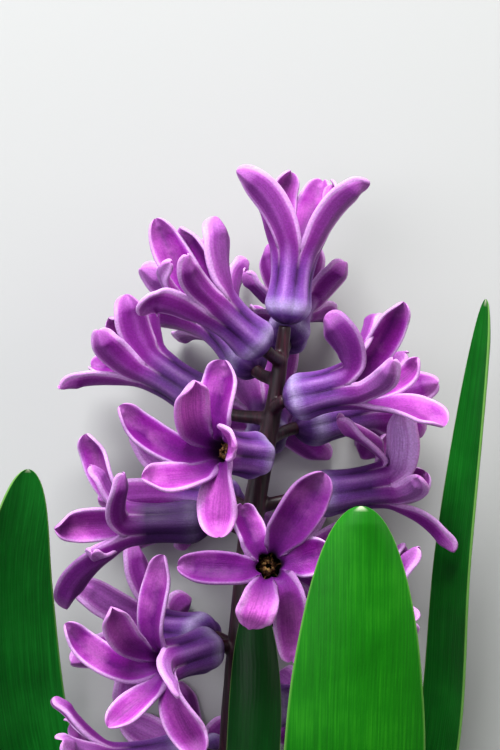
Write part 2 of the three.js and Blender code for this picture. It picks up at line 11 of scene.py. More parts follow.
import bmesh
import bpy
import numpy as np
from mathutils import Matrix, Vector


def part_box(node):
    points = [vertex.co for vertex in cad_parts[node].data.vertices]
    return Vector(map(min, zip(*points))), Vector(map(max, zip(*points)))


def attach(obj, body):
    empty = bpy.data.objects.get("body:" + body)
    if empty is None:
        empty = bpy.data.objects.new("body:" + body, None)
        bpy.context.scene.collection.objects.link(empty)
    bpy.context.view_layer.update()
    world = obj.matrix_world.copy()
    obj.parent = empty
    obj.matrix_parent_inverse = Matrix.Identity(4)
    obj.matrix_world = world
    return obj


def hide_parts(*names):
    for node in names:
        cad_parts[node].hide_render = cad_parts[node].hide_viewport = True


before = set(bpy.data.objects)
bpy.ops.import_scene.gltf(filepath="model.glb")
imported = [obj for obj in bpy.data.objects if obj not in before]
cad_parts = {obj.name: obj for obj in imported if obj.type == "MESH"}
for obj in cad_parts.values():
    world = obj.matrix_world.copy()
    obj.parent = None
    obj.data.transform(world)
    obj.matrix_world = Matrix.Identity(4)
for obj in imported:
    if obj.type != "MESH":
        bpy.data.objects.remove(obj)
scene = bpy.context.scene
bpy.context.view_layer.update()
MM = 0.001

# %% [markdown]
# ## Camera
# The flower lies down, so the camera looks straight down on it: the picture then shows the side that
# the photograph shows. The florets are placed in the head's own frame, whose zero lies on the scape,
# at HEAD in the scene.

# %% Camera over the flower's head
HEAD = np.array([3.1596, -2.0533, 30.9819])
EYE_HEIGHT = 430
EYE_OVER = 75
FRAME_HEIGHT = 150


def placed(name, data):
    """An object in the scene with the given data."""
    made = bpy.data.objects.new(name, data)
    scene.collection.objects.link(made)
    return made


camera_data = bpy.data.cameras.new("camera")
camera = placed("camera", camera_data)
scene.camera = camera
camera_data.sensor_width = 36
camera_data.lens = camera_data.sensor_width * EYE_HEIGHT / FRAME_HEIGHT
camera_data.clip_start = 0.01
camera.location = Vector(HEAD + [0, EYE_OVER, EYE_HEIGHT]) * MM
print("camera at", [round(v, 3) for v in camera.location], "lens", round(camera_data.lens, 1))

# %% [markdown]
# ## Colours and nodes
# Colours are noted as the hex values that a paint program shows. Blender mixes light in linear
# values, so one function turns them. One more function adds a node, with its settings and links, and
# hands back the output that the next node needs. Each material and each Geometry Nodes tree below
# comes with its own `add`, which is that function for its nodes.

# %% Helpers for colours and nodes
def colour(hex_value):
    """A linear RGBA colour from an sRGB hex value such as "#8b1e96"."""
    parts = [int(hex_value[i:i + 2], 16) / 255 for i in (1, 3, 5)]
    linear = [c / 12.92 if c <= 0.04045 else ((c + 0.055) / 1.055) ** 2.4 for c in parts]
    return (*linear, 1.0)


def node(tree, kind, *inputs, out=None, stops=None, **named):
    """Adds a node and gives back its output named out, or else its first output.

    A kind's second word is its operation or data type, and an operation alone is a Math node's.
    Names with a capital are inputs, the others are settings. Unused sockets aren't counted.
    """
    kind, *variant = ("Math " * kind.isupper() + kind).split()
    families = ("ShaderNode", "GeometryNode", "FunctionNode", "Node")
    family = next(f for f in families if hasattr(bpy.types, f + kind))
    made = tree.nodes.new(family + kind)
    if variant:
        setattr(made, "operation" if hasattr(made, "operation") else "data_type", variant[0])
    for key, value in named.items():
        if key[0].islower():
            setattr(made, key, value)
    sockets = [socket for socket in made.inputs if socket.enabled]
    by_name = {socket.name.replace(" ", "_"): socket for socket in sockets}
    given = [(by_name[key], value) for key, value in named.items() if key[0].isupper()]
    for socket, value in [*zip(sockets, inputs), *given]:
        for part in value if isinstance(value, list) else [value]:
            if isinstance(part, bpy.types.NodeSocket):
                tree.links.new(part, socket)
            elif part is not None:
                socket.default_value = colour(part) if str(part).startswith("#") else part
    for n, (place, hex_value) in enumerate((stops or {}).items()):
        bands = made.color_ramp.elements
        band = bands[n] if n < len(bands) else bands.new(place)
        band.position = place
        band.color = colour(hex_value)
    outputs = [socket for socket in made.outputs if socket.enabled and out in (None, socket.name)]
    return outputs[0] if outputs else None


def new_material(name):
    """An empty node material, and the function that adds a node to it."""
    material = bpy.data.materials.new(name)
    material.use_nodes = True
    material.node_tree.nodes.clear()
    return material, partial(node, material.node_tree)


# %% [markdown]
# ## Floor and light
# The photograph was taken in the open, under a bright sky: light comes from the flower's tip and
# from above, and is soft. A large soft lamp beyond the tip gives the bright upper rims, weaker ones
# at the left, at the right and beside the eye fill the shadows, and the pale floor throws some
# light back from below. The Standard view keeps the petals' strong purple, which AgX would grey.

# %% Floor, lamps and surroundings
def lamp(name, place, aim, size, power, tint):
    """A square soft lamp at a place, in metres, turned to a point."""
    data = bpy.data.lights.new(name, "AREA")
    data.size = size
    data.energy = power
    data.color = colour(tint)[:3]
    made = placed(name, data)
    made.location = place
    made.rotation_mode = "QUATERNION"
    made.rotation_quaternion = (Vector(aim) - Vector(place)).to_track_quat("-Z", "Y")


HEART = (0.0, 0.04, 0.03)
lamp("sky_lamp", (-0.1, 0.85, 0.55), HEART, 0.45, 19, "#ffffff")
lamp("left_lamp", (-0.75, 0.25, 0.5), HEART, 0.5, 1.6, "#f2f5ff")
lamp("right_lamp", (0.8, 0.3, 0.4), HEART, 0.5, 2.2, "#fff6ec")
lamp("eye_lamp", (-0.42, 0.2, 0.82), HEART, 0.5, 3.2, "#fbf4ff")
scene.view_settings.view_transform = "Standard"

world = bpy.data.worlds.new("studio")
scene.world = world
world.use_nodes = True
sky = world.node_tree.nodes["Background"].inputs
sky["Color"].default_value = colour("#e9eef4")
sky["Strength"].default_value = 0.25

FLOOR_SIDE = 3
floor_data = bpy.data.meshes.new("floor")
corner = FLOOR_SIDE / 2
floor_data.from_pydata(
    [(-corner, -corner, 0), (corner, -corner, 0), (corner, corner, 0), (-corner, corner, 0)],
    [], [(0, 1, 2, 3)],
)
floor = placed("floor", floor_data)

# Backdrop paper is matt, so it shows soft shadows and no shine.
paper, add = new_material("matt_backdrop_paper")
shader = add("BsdfPrincipled", Base_Color="#aeb0ae", Roughness=0.9, Specular_IOR_Level=0.2)
add("OutputMaterial", shader)
floor_data.materials.append(paper)
print("floor side in m:", FLOOR_SIDE)

# %% [markdown]
# ## Petal
# A hyacinth's lobe is fleshy. Its skin is made of tiny domed cells, so it glitters softly, and light
# goes some way into it; the glitter is painted into the colour as pale specks in a fine mottle. The
# pigment is deepest along the middle of the inner face and fades to pale lilac on the thick rims. The
# tube is bluer outside, with a painted highlight on each ridge and painted shade in each groove, and
# its inside is painted shade, nearly black. The mesh carries five numbers at every point: across (0
# on the midrib, 1 on the rim), along (0 at the foot, 0.5 at the mouth, 1 at the tip), inside (0 on
# the outer skin, 1 on the inner), tone (a lobe's painted shade below 0 and painted light above 0,
# with a little of its own difference) and ripe (painted shade on the tubes, deepest under
# other florets). Colour made from them follows every bend of a petal.

# %% Fleshy petal
CELL = 0.24
MOTTLE_SIZE = 0.4
STREAKS = (9, 3, 2)
MARKS = ("across", "along", "inside", "tone", "ripe")

petal, add = new_material("fleshy_hyacinth_petal")
across, along, inside, tone, ripe = (
    add("Attribute", out="Fac", attribute_name=name) for name in MARKS
)
place = add("TexCoord", out="Object")
cloud = add("TexNoise", place, Scale=1 / (6 * MM), Detail=3)
# Streaks run up the petal: the noise is many times finer across it than along it.
streak_place = add("Mapping", add("CombineXYZ", across, along, cloud), Scale=STREAKS)
streak = add("TexNoise", streak_place, Scale=1, Detail=3)
# A shift of a tenth to either side keeps the bands of colour from looking ruled.
shifted = add("MULTIPLY_ADD", add("ADD", cloud, streak), 0.3, -0.3)
# Past its root, a lobe's tone darkens it as painted shade below 0 and lightens it as painted light
# above 0; a little of it is the lobes' own difference.
tone = add("MULTIPLY", tone, add("MapRange", along, 0.52, 0.74))
shifted = add("MULTIPLY_ADD", tone, 0.22, shifted)
# The shift fades towards the rim, which stays pale on every lobe.
shifted = add("MULTIPLY", shifted, add("MapRange", across, 0.7, 1, 1, 0.2))
band = add("ADD", across, shifted, use_clamp=True)
face = add("ValToRGB", band, stops={
    0: "#5c0a68", 0.2: "#6e1077", 0.6: "#811588", 0.8: "#9628a0", 0.91: "#b968c4", 0.98: "#d8aee4",
})
# Pale pink clouds lie on the inner face's outer half, and fine dark veins run through them.
blush = add("MapRange", cloud, 0.46, 0.68, 0, 0.4)
blush = add("MULTIPLY", blush, add("MapRange", along, 0.56, 0.8, 0.1, 1))
face = add("Mix RGBA", blush, face, "#d879d2")
face = add("Mix RGBA", add("MapRange", streak, 0.5, 0.7, 0, 0.4), face, "#6a0f76")
# The outer face is painted a little paler along its keel, as a painted highlight on that ridge.
back = add("ValToRGB", band, stops={
    0: "#8a3a95", 0.3: "#771f81", 0.65: "#7a2083", 0.86: "#9c46a3", 0.97: "#cb94d4",
})
# Painted shade for a tone below 0, painted light for a tone above 0.
shade_by_tone = add("MULTIPLY", tone, -0.55, use_clamp=True)
face = add("Mix RGBA", shade_by_tone, face, "#4c0a58")
back = add("Mix RGBA", shade_by_tone, back, "#48125a")
light_by_tone = add("MULTIPLY", tone, streak, use_clamp=True)
face = add("Mix RGBA", light_by_tone, face, "#e070d8")
back = add("Mix RGBA", light_by_tone, back, "#cfa3e2")
# The tube's ridges carry a painted highlight, and its grooves carry painted shade.
outer_tube = add("ValToRGB", band, stops={
    0: "#a06cba", 0.35: "#7a4098", 0.75: "#582678", 1: "#3a164c",
})
# The pale band on the bulge's swell is a painted highlight; the foot below it is darker.
bulge = add("ValToRGB", along, stops={0: "#22102e", 0.05: "#5f3a86", 0.11: "#c3b2e2", 0.2: "#8458ae"})
tube = add("Mix RGBA", add("MapRange", along, 0.12, 0.3, 0.75, 0), outer_tube, bulge)
# Tubes that lie in the shade of other florets get painted shade here.
tube = add("Mix RGBA", ripe, tube, "#240a34")
outer = add("Mix RGBA", add("MapRange", along, 0.4, 0.6), tube, back)
# The inside of the tube is painted shade, nearly black, with the green ovary at its floor. The dark
# runs past the mouth onto the lobes' roots, which is painted shade too.
throat = add("ValToRGB", along, stops={
    0.1: "#5a6a3a", 0.2: "#240a2c", 0.44: "#34093f", 0.55: "#5a1169",
})
inner = add("Mix RGBA", add("MapRange", along, 0.52, 0.78), throat, face)
skin = add("Mix RGBA", inside, outer, inner)
skin = add("Mix RGBA", add("MapRange", along, 0.9, 1, 0, 0.45), skin, "#cc7fd0")
# A fine mottle is painted into the colour, and its pale specks are painted glints of the domed skin
# cells.
mottle_and_glint = add("TexNoise", place, Scale=1 / (MOTTLE_SIZE * MM), Detail=2)
mottle_and_glint = add("MapRange", mottle_and_glint, 0.35, 0.7, 0.88, 1.14)
skin = add("HueSaturation", Value=mottle_and_glint, Color=skin)
# Real skin cells are 0.03 mm wide. They are drawn eight times as wide, so that they show.
cells = add("TexVoronoi", place, Scale=1 / (CELL * MM))
cell_bump = add("Bump", Height=cells, Strength=0.5, Distance=0.07 * MM)
vein_bump = add("Bump", Height=streak, Strength=0.5, Distance=0.15 * MM, Normal=cell_bump)
gloss = add("MapRange", cloud, 0.3, 0.7, 0.44, 0.58)
shader = add("BsdfPrincipled", Base_Color=skin, Roughness=gloss, Normal=vein_bump, IOR=1.38,
             Subsurface_Weight=0.15, Subsurface_Radius=(1, 0.35, 0.9), Subsurface_Scale=0.8 * MM,
             Specular_IOR_Level=0.22, Sheen_Weight=0.03, Sheen_Roughness=0.45, Sheen_Tint="#f3d6ff")
add("OutputMaterial", shader)
print("petal material:", len(petal.node_tree.nodes), "nodes")

# %% [markdown]
# ## Floret
# A floret is one fleshy body: a tube with a swollen foot, six ribs and six lobes that curl back
# from its mouth. All florets follow one rule, so a formula makes them: the tube is a ribbed profile
# turned round its axis, and each lobe is a channelled section carried along a cubic curve from the
# mouth to the tip. A lobe starts as a piece of the tube's own wall and takes on its own section
# over the first third of its length, so that no seam shows.

# %% Sizes of a floret
LOBES = 6
TUBE_LENGTH = 16
TUBE_RADIUS = 4.6
BULGE_HEIGHT = 5
BULGE_ROUNDING = 0.95
WAIST = 0.5
RIB = 0.05
WALL = 1
LOBE_LENGTH = 17
LOBE_ROOT_HALF = 2.9
LOBE_HALF = 3.8
LOBE_THICK = 1.25
LOBE_CHANNEL = 0.34
CHANNEL_FLOOR = 0.4
LOBE_SWELL = 0.8
LOBE_SWELL_POWER = 1.3
LOBE_TAPER_FROM = 0.58
LOBE_TAPER_POWER = 2.4
FLARE = 14
ROOT_HANDLE = 0.3
TIP_HANDLE = 0.36
FLOOR_OF_TUBE = 2.4

# The fine form's own measures and counts
THROAT_WALL = 2
RIM_RADIUS = 0.45
BLADE_THIN = 0.8
GROOVE = 0.08
KEEL = 0.16
HOOD = 1.1
HOOD_CUP = 1.5
CALLUS = 0.35
COLUMNS = 14
RIM_STEPS = 4
LOBE_ROWS = 38
TUBE_ROWS = 30


def smooth(low, high, x):
    """0 below low, 1 above high, and a smooth rise between."""
    x = np.clip((x - low) / (high - low), 0, 1)
    return x * x * (3 - 2 * x)


def unit(v):
    """Vectors of length 1."""
    return v / np.linalg.norm(v, axis=-1, keepdims=True)


def tube_radius(height):
    """The tube's radius at a height above its foot."""
    drop = np.clip((BULGE_HEIGHT - height) / BULGE_HEIGHT, 0, 1)
    up = np.clip((height - BULGE_HEIGHT) / (TUBE_LENGTH - BULGE_HEIGHT), 0, 1)
    return TUBE_RADIUS * np.sqrt(1 - BULGE_ROUNDING * drop ** 2) - WAIST * np.sin(np.pi * up)


def wall(height):
    """The tube's wall, which thickens towards the mouth and narrows the throat."""
    return WALL + (THROAT_WALL - WALL) * smooth(7, TUBE_LENGTH, height)


def rib(t):
    """How much the wall stands out at t, from -1 over a cleft to 0 on a rib and 1 over the next."""
    return 1 + RIB * np.cos(np.pi * t) - 0.03 * np.exp(-((1 - np.abs(t)) / 0.12) ** 2)


def lobe_half(s):
    """Half a lobe's width, from its root at 0 to its tip at 1."""
    swell = np.sin(np.pi * LOBE_SWELL * s) ** LOBE_SWELL_POWER
    body = LOBE_ROOT_HALF + (LOBE_HALF - LOBE_ROOT_HALF) * swell
    end = np.clip((s - LOBE_TAPER_FROM) / (1 - LOBE_TAPER_FROM), 0, 1)
    return body * np.sqrt(np.clip(1 - end ** LOBE_TAPER_POWER, 0, 1))


print("tube radius at foot, bulge, waist, mouth:",
      [round(float(tube_radius(h)), 2) for h in (0, 3.8, 10, 16)])


# %% A lobe's midline
def bezier(handles, s):
    """Points of a cubic curve at places s from 0 to 1."""
    s = s[:, None]
    shares = [(1 - s) ** 3, 3 * s * (1 - s) ** 2, 3 * s * s * (1 - s), s ** 3]
    return sum(share * handle for share, handle in zip(shares, handles))


def lobe_line(root, radial, out, tip, recurve, twist, arch, wide, steps):
    """Points along a lobe's midline, their directions, inner normals and sides, and its width."""
    flare = math.radians(FLARE)
    start = out * math.cos(flare) + radial * math.sin(flare)
    reach = np.linalg.norm(tip - root)
    chord = (tip - root) / reach
    away = chord * chord.dot(start) - start
    if np.linalg.norm(away) < 0.05:
        away = radial
    away = unit(away - chord * away.dot(chord))
    end = chord * math.cos(math.radians(recurve)) + away * math.sin(math.radians(recurve))
    handles = [root, root + start * reach * arch * ROOT_HANDLE,
               tip - end * reach * arch * TIP_HANDLE, tip]
    s = steps[:, None]
    legs = np.diff(np.array(handles), axis=0)
    direction = unit((1 - s) ** 2 * legs[0] + 2 * s * (1 - s) * legs[1] + s * s * legs[2])
    normal = out * math.sin(flare) - radial * math.cos(flare)
    normals = []
    for step in direction:
        normal = unit(normal - step * normal.dot(step))
        normals.append(normal)
    normals = np.array(normals)
    side = np.cross(normals, direction)
    turn = np.radians(twist) * s
    sideways = side * np.cos(turn) + normals * np.sin(turn)
    face = normals * np.cos(turn) - side * np.sin(turn)
    return bezier(handles, steps), direction, face, sideways, wide


# %% A whole floret
class Sheet:
    """Points that share corners by key, with four numbers at each, and the faces between."""

    def __init__(self):
        self.points, self.marks, self.keys, self.faces = [], [], {}, []

    def corner(self, key, point, mark):
        """The number of a corner. A key that was used before gives the same corner again."""
        if key not in self.keys:
            self.keys[key] = len(self.points)
            self.points.append(point)
            self.marks.append(mark)
        return self.keys[key]

    def grid(self, rows):
        """Quads between rows of corner numbers."""
        for low, high in zip(rows[:-1], rows[1:]):
            for a, b, c, d in zip(low[:-1], low[1:], high[1:], high[:-1]):
                face = [a, b, c, d]
                self.faces.append([v for n, v in enumerate(face) if v != face[n - 1]])


def floret_frame(foot, throat):
    """The directions across a floret's mouth, up it and out along the tube."""
    out = unit(throat - foot)
    lean = np.array([0, math.cos(math.radians(30)), -math.sin(math.radians(30))])
    up = unit(lean - out * lean.dot(out))
    return np.cross(up, out), up, out


# Radii and heights of the pistil on the tube's floor: ovary, style and stigma.
PISTIL = [(1.5, 2.5), (1.75, 3.4), (1.6, 4.6), (0.9, 5.6), (0.5, 6.4), (0.55, 7.2), (0.75, 7.6),
          (0.5, 7.95)]


def floret_mesh(foot, throat, turn, tips, tones, rng):
    """Points, faces and marks of one floret, in millimetres of the head's frame."""
    right, up, out = floret_frame(foot, throat)
    length = np.linalg.norm(throat - foot)
    sheet = Sheet()
    ts = np.linspace(-1, 1, COLUMNS + 1)
    half = math.pi / LOBES
    last = len(ts) - 1

    def place_at(angle, radius, height):
        round_way = right * math.cos(angle) + up * math.sin(angle)
        return foot + round_way * radius + out * height * length / TUBE_LENGTH

    def key(side, row, k, j):
        return (side, row, (k + 1) % LOBES, 0) if j == last else (side, row, k, j)

    foot_end = sheet.corner("foot", place_at(0, 0, 0.15), (1, 0, 0, 0))
    stigma = sheet.corner("stigma", place_at(0, 0, 8), (0, 0.12, 1, 0))
    x = np.linspace(0, 1, TUBE_ROWS)
    outer_heights = TUBE_LENGTH * (0.25 * x + 0.75 * x ** 1.6)
    inner_heights = np.linspace(TUBE_LENGTH, FLOOR_OF_TUBE, TUBE_ROWS - 6)
    x = np.linspace(0, 1, LOBE_ROWS + 1)
    steps = 1 - (1 - x) ** 1.5
    for k in range(LOBES):
        angle = math.radians(turn) + 2 * half * k
        radial = right * math.cos(angle) + up * math.sin(angle)

        def ring(side, row, h, radius, ribs=0, less=0):
            """Corners round a sixth of the outer wall, of the inner wall or of the pistil."""
            along = 0.1 if side == "pistil" else 0.5 * h / TUBE_LENGTH
            return [sheet.corner(
                key(side, row, k, j),
                place_at(angle + half * t, radius * (1 + (rib(t) - 1) * ribs) - less, h),
                (abs(t), along, side != "outer", 0),
            ) for j, t in enumerate(ts)]

        outer = [ring("outer", row, h, tube_radius(h), smooth(0, 3, h))
                 for row, h in enumerate(outer_heights)]
        inner = [ring("inner", row, h, tube_radius(h), smooth(8, 16, h), wall(h))
                 for row, h in enumerate(inner_heights)]
        pistil = [ring("pistil", row, h, radius) for row, (radius, h) in enumerate(PISTIL)]
        sheet.grid([[foot_end] * (last + 1)] + outer)
        sheet.grid(inner + pistil + [[stigma] * (last + 1)])

        root_radius = tube_radius(TUBE_LENGTH) - WALL / 2
        root = place_at(angle, root_radius, TUBE_LENGTH)
        line = lobe_line(root, radial, out, *tips[k], steps)
        rows = lobe_rows(sheet, k, ts, steps, line, outer[-1], inner[0], out, tones[k], rng)
        sheet.grid(rows)
    return sheet


def lobe_rows(sheet, k, ts, steps, line, outer_ring, inner_ring, out, tone, rng):
    """Closed loops of corner numbers up a lobe: outer skin, rim, inner skin and the other rim."""
    rings = {name: np.array([sheet.points[i] for i in ring])
             for name, ring in (("o", outer_ring), ("i", inner_ring))}
    points, directions, faces, sideways, width = line
    # A channelled strap that is folded sharply is pressed flat there and bowed back beyond.
    legs = np.linalg.norm(np.gradient(points, axis=0), axis=1)
    bends = np.linalg.norm(np.gradient(directions, axis=0), axis=1) / np.maximum(legs, 0.05)
    sharp = smooth(0.15, 0.32, bends)
    beyond = np.maximum.accumulate(sharp * (np.array(steps) > 0.4))
    flat = 1 - np.maximum(0.9 * sharp, 1.15 * beyond)
    phase, ripple = rng.uniform(0, 6.28), rng.uniform(0.05, 0.16)
    fullness = rng.uniform(0.95, 1.04)
    rows = []
    for row, s in enumerate(steps):
        point, face, side = points[row], faces[row], sideways[row]
        settled = smooth(0, 0.3, s)
        wide = lobe_half(s) * (1 + (width * fullness - 1) * settled)
        rim = min(RIM_RADIUS, wide) * math.sqrt(max(0.0, 1 - max(0, (s - 0.955) / 0.045) ** 2))
        cup = LOBE_CHANNEL * wide * min(1, 0.3 + s * 2) * (1 + HOOD_CUP * smooth(0.72, 0.94, s))
        cup *= flat[row]
        reach = max(0.0, wide - rim)
        lift = HOOD * smooth(0.8, 1, s) + ripple * math.sin(7 * s + phase) * settled
        ridge = smooth(0.02, 0.2, s) * (1 - smooth(0.72, 0.97, s))
        thick = (LOBE_THICK - BLADE_THIN) * np.exp(-(ts / 0.4) ** 2) + BLADE_THIN
        thick = thick + (2 * rim - thick) * smooth(0.6, 1, np.abs(ts))
        thick = np.minimum(thick, 2 * rim)
        depth = cup * (np.abs(ts) ** 1.8 - CHANNEL_FLOOR) + lift
        own = {}
        for name, sign in (("o", -1), ("i", 1)):
            knob = CALLUS * np.exp(-(ts / 0.3) ** 2 - ((s - 0.93) / 0.02) ** 2)
            carve = GROOVE * ridge * np.exp(-(ts / 0.3) ** 2) - knob if sign > 0 else 0
            stand = KEEL * ridge * np.exp(-(ts / 0.22) ** 2) if sign < 0 else 0
            skin = depth + sign * thick / 2 - carve - stand
            section = point + side * (ts * reach)[:, None] + face * skin[:, None]
            own[name] = (rings[name] + (point - points[0])) * (1 - settled) + section * settled
        if row == 0:
            outer_row, inner_row = outer_ring, inner_ring
        else:
            outer_row, inner_row = ([
                sheet.corner((name, k, row, j), own[name][j], (abs(t), 0.5 + 0.5 * s, side_mark, tone))
                for j, t in enumerate(ts)
            ] for name, side_mark in (("o", 0), ("i", 1)))
        rims = []
        turned = smooth(0, 0.12, s)
        for end, sign in ((-1, 1), (0, -1)):
            low, high = own["o"][end], own["i"][end]
            bulge_way = unit(out * (1 - turned) + side * sign * turned + 1e-9)
            radius = np.linalg.norm(high - low) / 2
            made = []
            for n in range(1, RIM_STEPS):
                turn = math.pi * n / RIM_STEPS
                where = (low + high) / 2 + (low - high) / 2 * math.cos(turn)
                where = where + bulge_way * radius * math.sin(turn)
                mark = (1, 0.5 + 0.5 * s, n / RIM_STEPS, tone)
                cleft = ("r", (k + 1) % LOBES if sign > 0 else k, n)
                name = cleft if row == 0 else ("r", k, row, sign, n)
                made.append(sheet.corner(name, where, mark))
            rims.append(made)
        rows.append([*outer_row, *rims[0], *inner_row[::-1], *rims[1][::-1], outer_row[0]])
    return rows


# %% [markdown]
# ## Where the florets stand
# The florets that show are set one by one: the tube's foot, its mouth and the six tips are noted as
# they look from the eye over the flower, with a height towards the eye. The others are placed by
# their bearing round the scape, with a seeded draw for each lobe.

# %% Poses of the florets
# The tube's foot and mouth, the turn of the lobes, their tips and tones, which paint each lobe's
# shade and light. A tip is its place as seen, the lobe's recurve and twist in degrees and, where they
# aren't 1, its arch and width.
POSED = {
    "top": (
        (7.2, 85.2, 0), (8.8, 98.4, -1), 0,
        [(17.6, 112.6, -9, 30, 0), (14.6, 112.8, -14, 20, 0), (7.4, 115.4, -10, 15, 0),
         (1, 112, -9, 30, 0), (-2.8, 115.5, 6, 40, 0, 0.9, 0.92), (23.8, 112.4, 5, 60, 0, 0.8, 0.92)],
        (0, 0.2, 0, 0, 0.1, 0.1)),
    "upper_left": (
        (3.2, 79.8, 5), (-6, 88, 8.6), 20,
        [(-6.2, 106.8, 13, 10, -30, 1, 1.1), (-12.8, 104.8, 4, 15, 0, 1, 0.75),
         (-18.8, 106, 3, 15, 0), (-17, 97.6, 20, 50, 0, 1, 0.7), (-21.2, 86.4, 15, 90, 30, 1.3),
         (-11.8, 98, 22, 50, 0, 1, 0.75)],
        (0.2, -0.2, 0, 0.6, 0, -0.2)),
    "left": (
        (-6.6, 68.2, -5), (-19, 76.2, -9), 0,
        [(-24.4, 91, -3, 15, 0), (-18.4, 90.4, -12, 25, 0), (-28, 87, -14, 20, 0),
         (-31, 76, -22, 30, 0), (-36.8, 71.6, -8, 60, 20), (-30.4, 83.2, -1, 30, 0)],
        (-0.2, -0.2, 0, 0, 0, -0.1)),
    "centre": (
        (3.2, 58.6, 5.4), (-6.4, 59.8, 17), 0,
        [(-2, 61, 30, 60, 0), (-4.6, 77.6, 17, 15, 15, 1, 1.2), (-11.4, 74.6, 27, 15, 0),
         (-26.6, 68.2, 19, 25, 0), (-21.8, 53.8, 25, 25, -45), (-6.2, 43, 21, 25, -85, 1, 1.2)],
        (0.6, -0.2, 1.3, -0.5, 0.45, 0.8)),
    "mid_left": (
        (-7.6, 45.8, -3), (-23.4, 45.2, -4), 30,
        [(-30.6, 57.2, 2, 20, 0, 1, 0.75), (-32.2, 63.4, -8, 15, 40), (-39.6, 44.6, -6, 25, -20),
         (-31.8, 38.2, 4, 35, 0, 1, 0.7), (-36.4, 27.6, -8, 50, 20, 1, 0.9),
         (-24.4, 54.4, 9, 30, 0, 1, 0.75)],
        (0.2, 0, 0.3, 0.5, -1.1, -0.2)),
    "low_front": (
        (2.2, 36.4, 5), (4, 36.9, 20), 14,
        [(15.6, 39.6, 21, 30, 0), (14.6, 55.4, 22, 20, 0, 1, 1.15), (-1.8, 48.2, 16, 15, 0, 0.8, 0.9),
         (-14, 36.6, 21, 25, 0, 1, 0.9), (0.2, 25.8, 22, 110, -5, 2), (8.6, 18.8, 12, 20, 0)],
        (-0.1, -1.1, -0.1, -1.2, 1.2, 0.6)),
    "low_left": (
        (-6.4, 21, 2), (-17.4, 17.4, 12), 0,
        [(-13.4, 11.6, 26, 60, 0, 1, 0.7), (-16.6, 38.8, 15, 20, 10, 1, 0.9),
         (-28, 29.2, 22, 20, 0, 1, 0.85), (-37.4, 25, 13, 25, 0, 1, 0.9),
         (-28.2, 4.6, 17, 25, -45, 1, 0.85), (-9.6, 0, 15, 25, -80, 1, 1.1)],
        (0.5, -0.5, 0.5, -0.1, 0.5, 0.4)),
    "upper_right": (
        (6.8, 69.8, 4), (19.4, 72.8, 6.6), 0,
        [(34.2, 78.4, 4, 40, 0, 1, 0.75), (30.4, 90, 6, 10, 0), (24, 87.6, -4, 20, 0, 1, 0.8),
         (14.6, 86.2, 14, 50, 50, 1, 1.1), (28, 77.2, 22, 40, 0, 1, 0.7),
         (38.2, 64.2, 10, 40, 45, 1, 1.15)],
        (0.4, -0.1, 0.1, -1, 0.3, 0.3)),
    "mid_right": (
        (10.6, 50.6, -2), (26.2, 53, -6), 0,
        [(35.2, 55.4, -14, 30, 0), (25.4, 62.6, -13, 20, 0), (17, 65, 2, 20, 40, 1, 1.1),
         (29.4, 67.6, 3, 20, 0, 1, 1.1), (33, 53.6, 6, 60, 0, 1, 0.75),
         (39.8, 39.4, -4, 40, -30, 1, 0.85)],
        (0, 0.1, 0, 1.3, 0.5, -0.1)),
    "rear_right": (
        (9, 64.4, -7), (22.6, 67.8, -15), 0,
        [(20, 66, -28, 30, 0), (22, 81, -22, 20, 0), (30, 80, -12, 30, 0), (37, 73.6, -12, 40, 0),
         (34.4, 62.2, -16, 30, 0), (22, 58, -27, 30, 0)],
        (0, 0, 0, 0, 0, 0)),
    "crown": (
        (7, 81, -5.4), (8.6, 88.6, -17.6), 0,
        [(-1.8, 94.6, -15, 20, 0), (3, 101, -20, 20, 0), (13, 102, -20, 20, 0),
         (19.4, 96.8, -15, 20, 0), (17, 86, -28, 30, 0), (0, 87, -28, 30, 0)],
        (0.1, -0.1, 0, -0.2, 0, 0)),
}

# Height up the scape, bearing round it, rise of the tube, distance of its foot from the scape's
# middle, spread of the lobes and their turn.
PLAIN = {
    "back_1": (71, -143, 37, 8, 40, -12),
    "back_2": (60, 178, 16, 6, 50, 50),
    "back_3": (49, -146, 2, 7, 46, 40),
    "back_4": (36, 156, 0, 6, 52, 50),
    "low_back": (22, -134, 0, 7, 55, 15),
    "low_right": (26, 90, 0, 7, 58, 25),
    "foot_right": (8, 140, -4, 7, 58, 45),
    "foot_left": (0, -85, -8, 7, 58, 5),
    "foot_back": (-2, -160, -8, 6.5, 50, 20),
    "foot_front": (-4, 90, -8, 6.5, 50, 20),
}
DRAW_SEED = 7
DRAW = dict(turn=6, spread=9, length=0.05, recurve=10, twist=12)
PLAIN_LENGTH = 0.94 * LOBE_LENGTH
PLAIN_RECURVE = 30
PLAIN_TONES = (0.3, -0.3, 0.1, -0.2, 0.3, -0.1)
LOWEST_TIP = -27.8


def seen(x, y, z):
    """A point that looks to be x across and y up from the eye, at a height z over the scape."""
    shrink = (EYE_HEIGHT - z) / EYE_HEIGHT
    return np.array([x * shrink, EYE_OVER + (y - EYE_OVER) * shrink, z])


# %% The scape's own line
SCAPE = [(-4, -112), (-4.8, -70), (-4.6, -35), (-3.6, 0), (-2.6, 15), (-1.2, 30), (0.4, 46),
         (3, 60), (5, 70), (7, 84.8)]
SCAPE_FOOT, SCAPE_TIP = SCAPE[0][1], SCAPE[-1][1]
SCAPE_LEVEL_FROM = 25
SCAPE_FOOT_DROP = 23


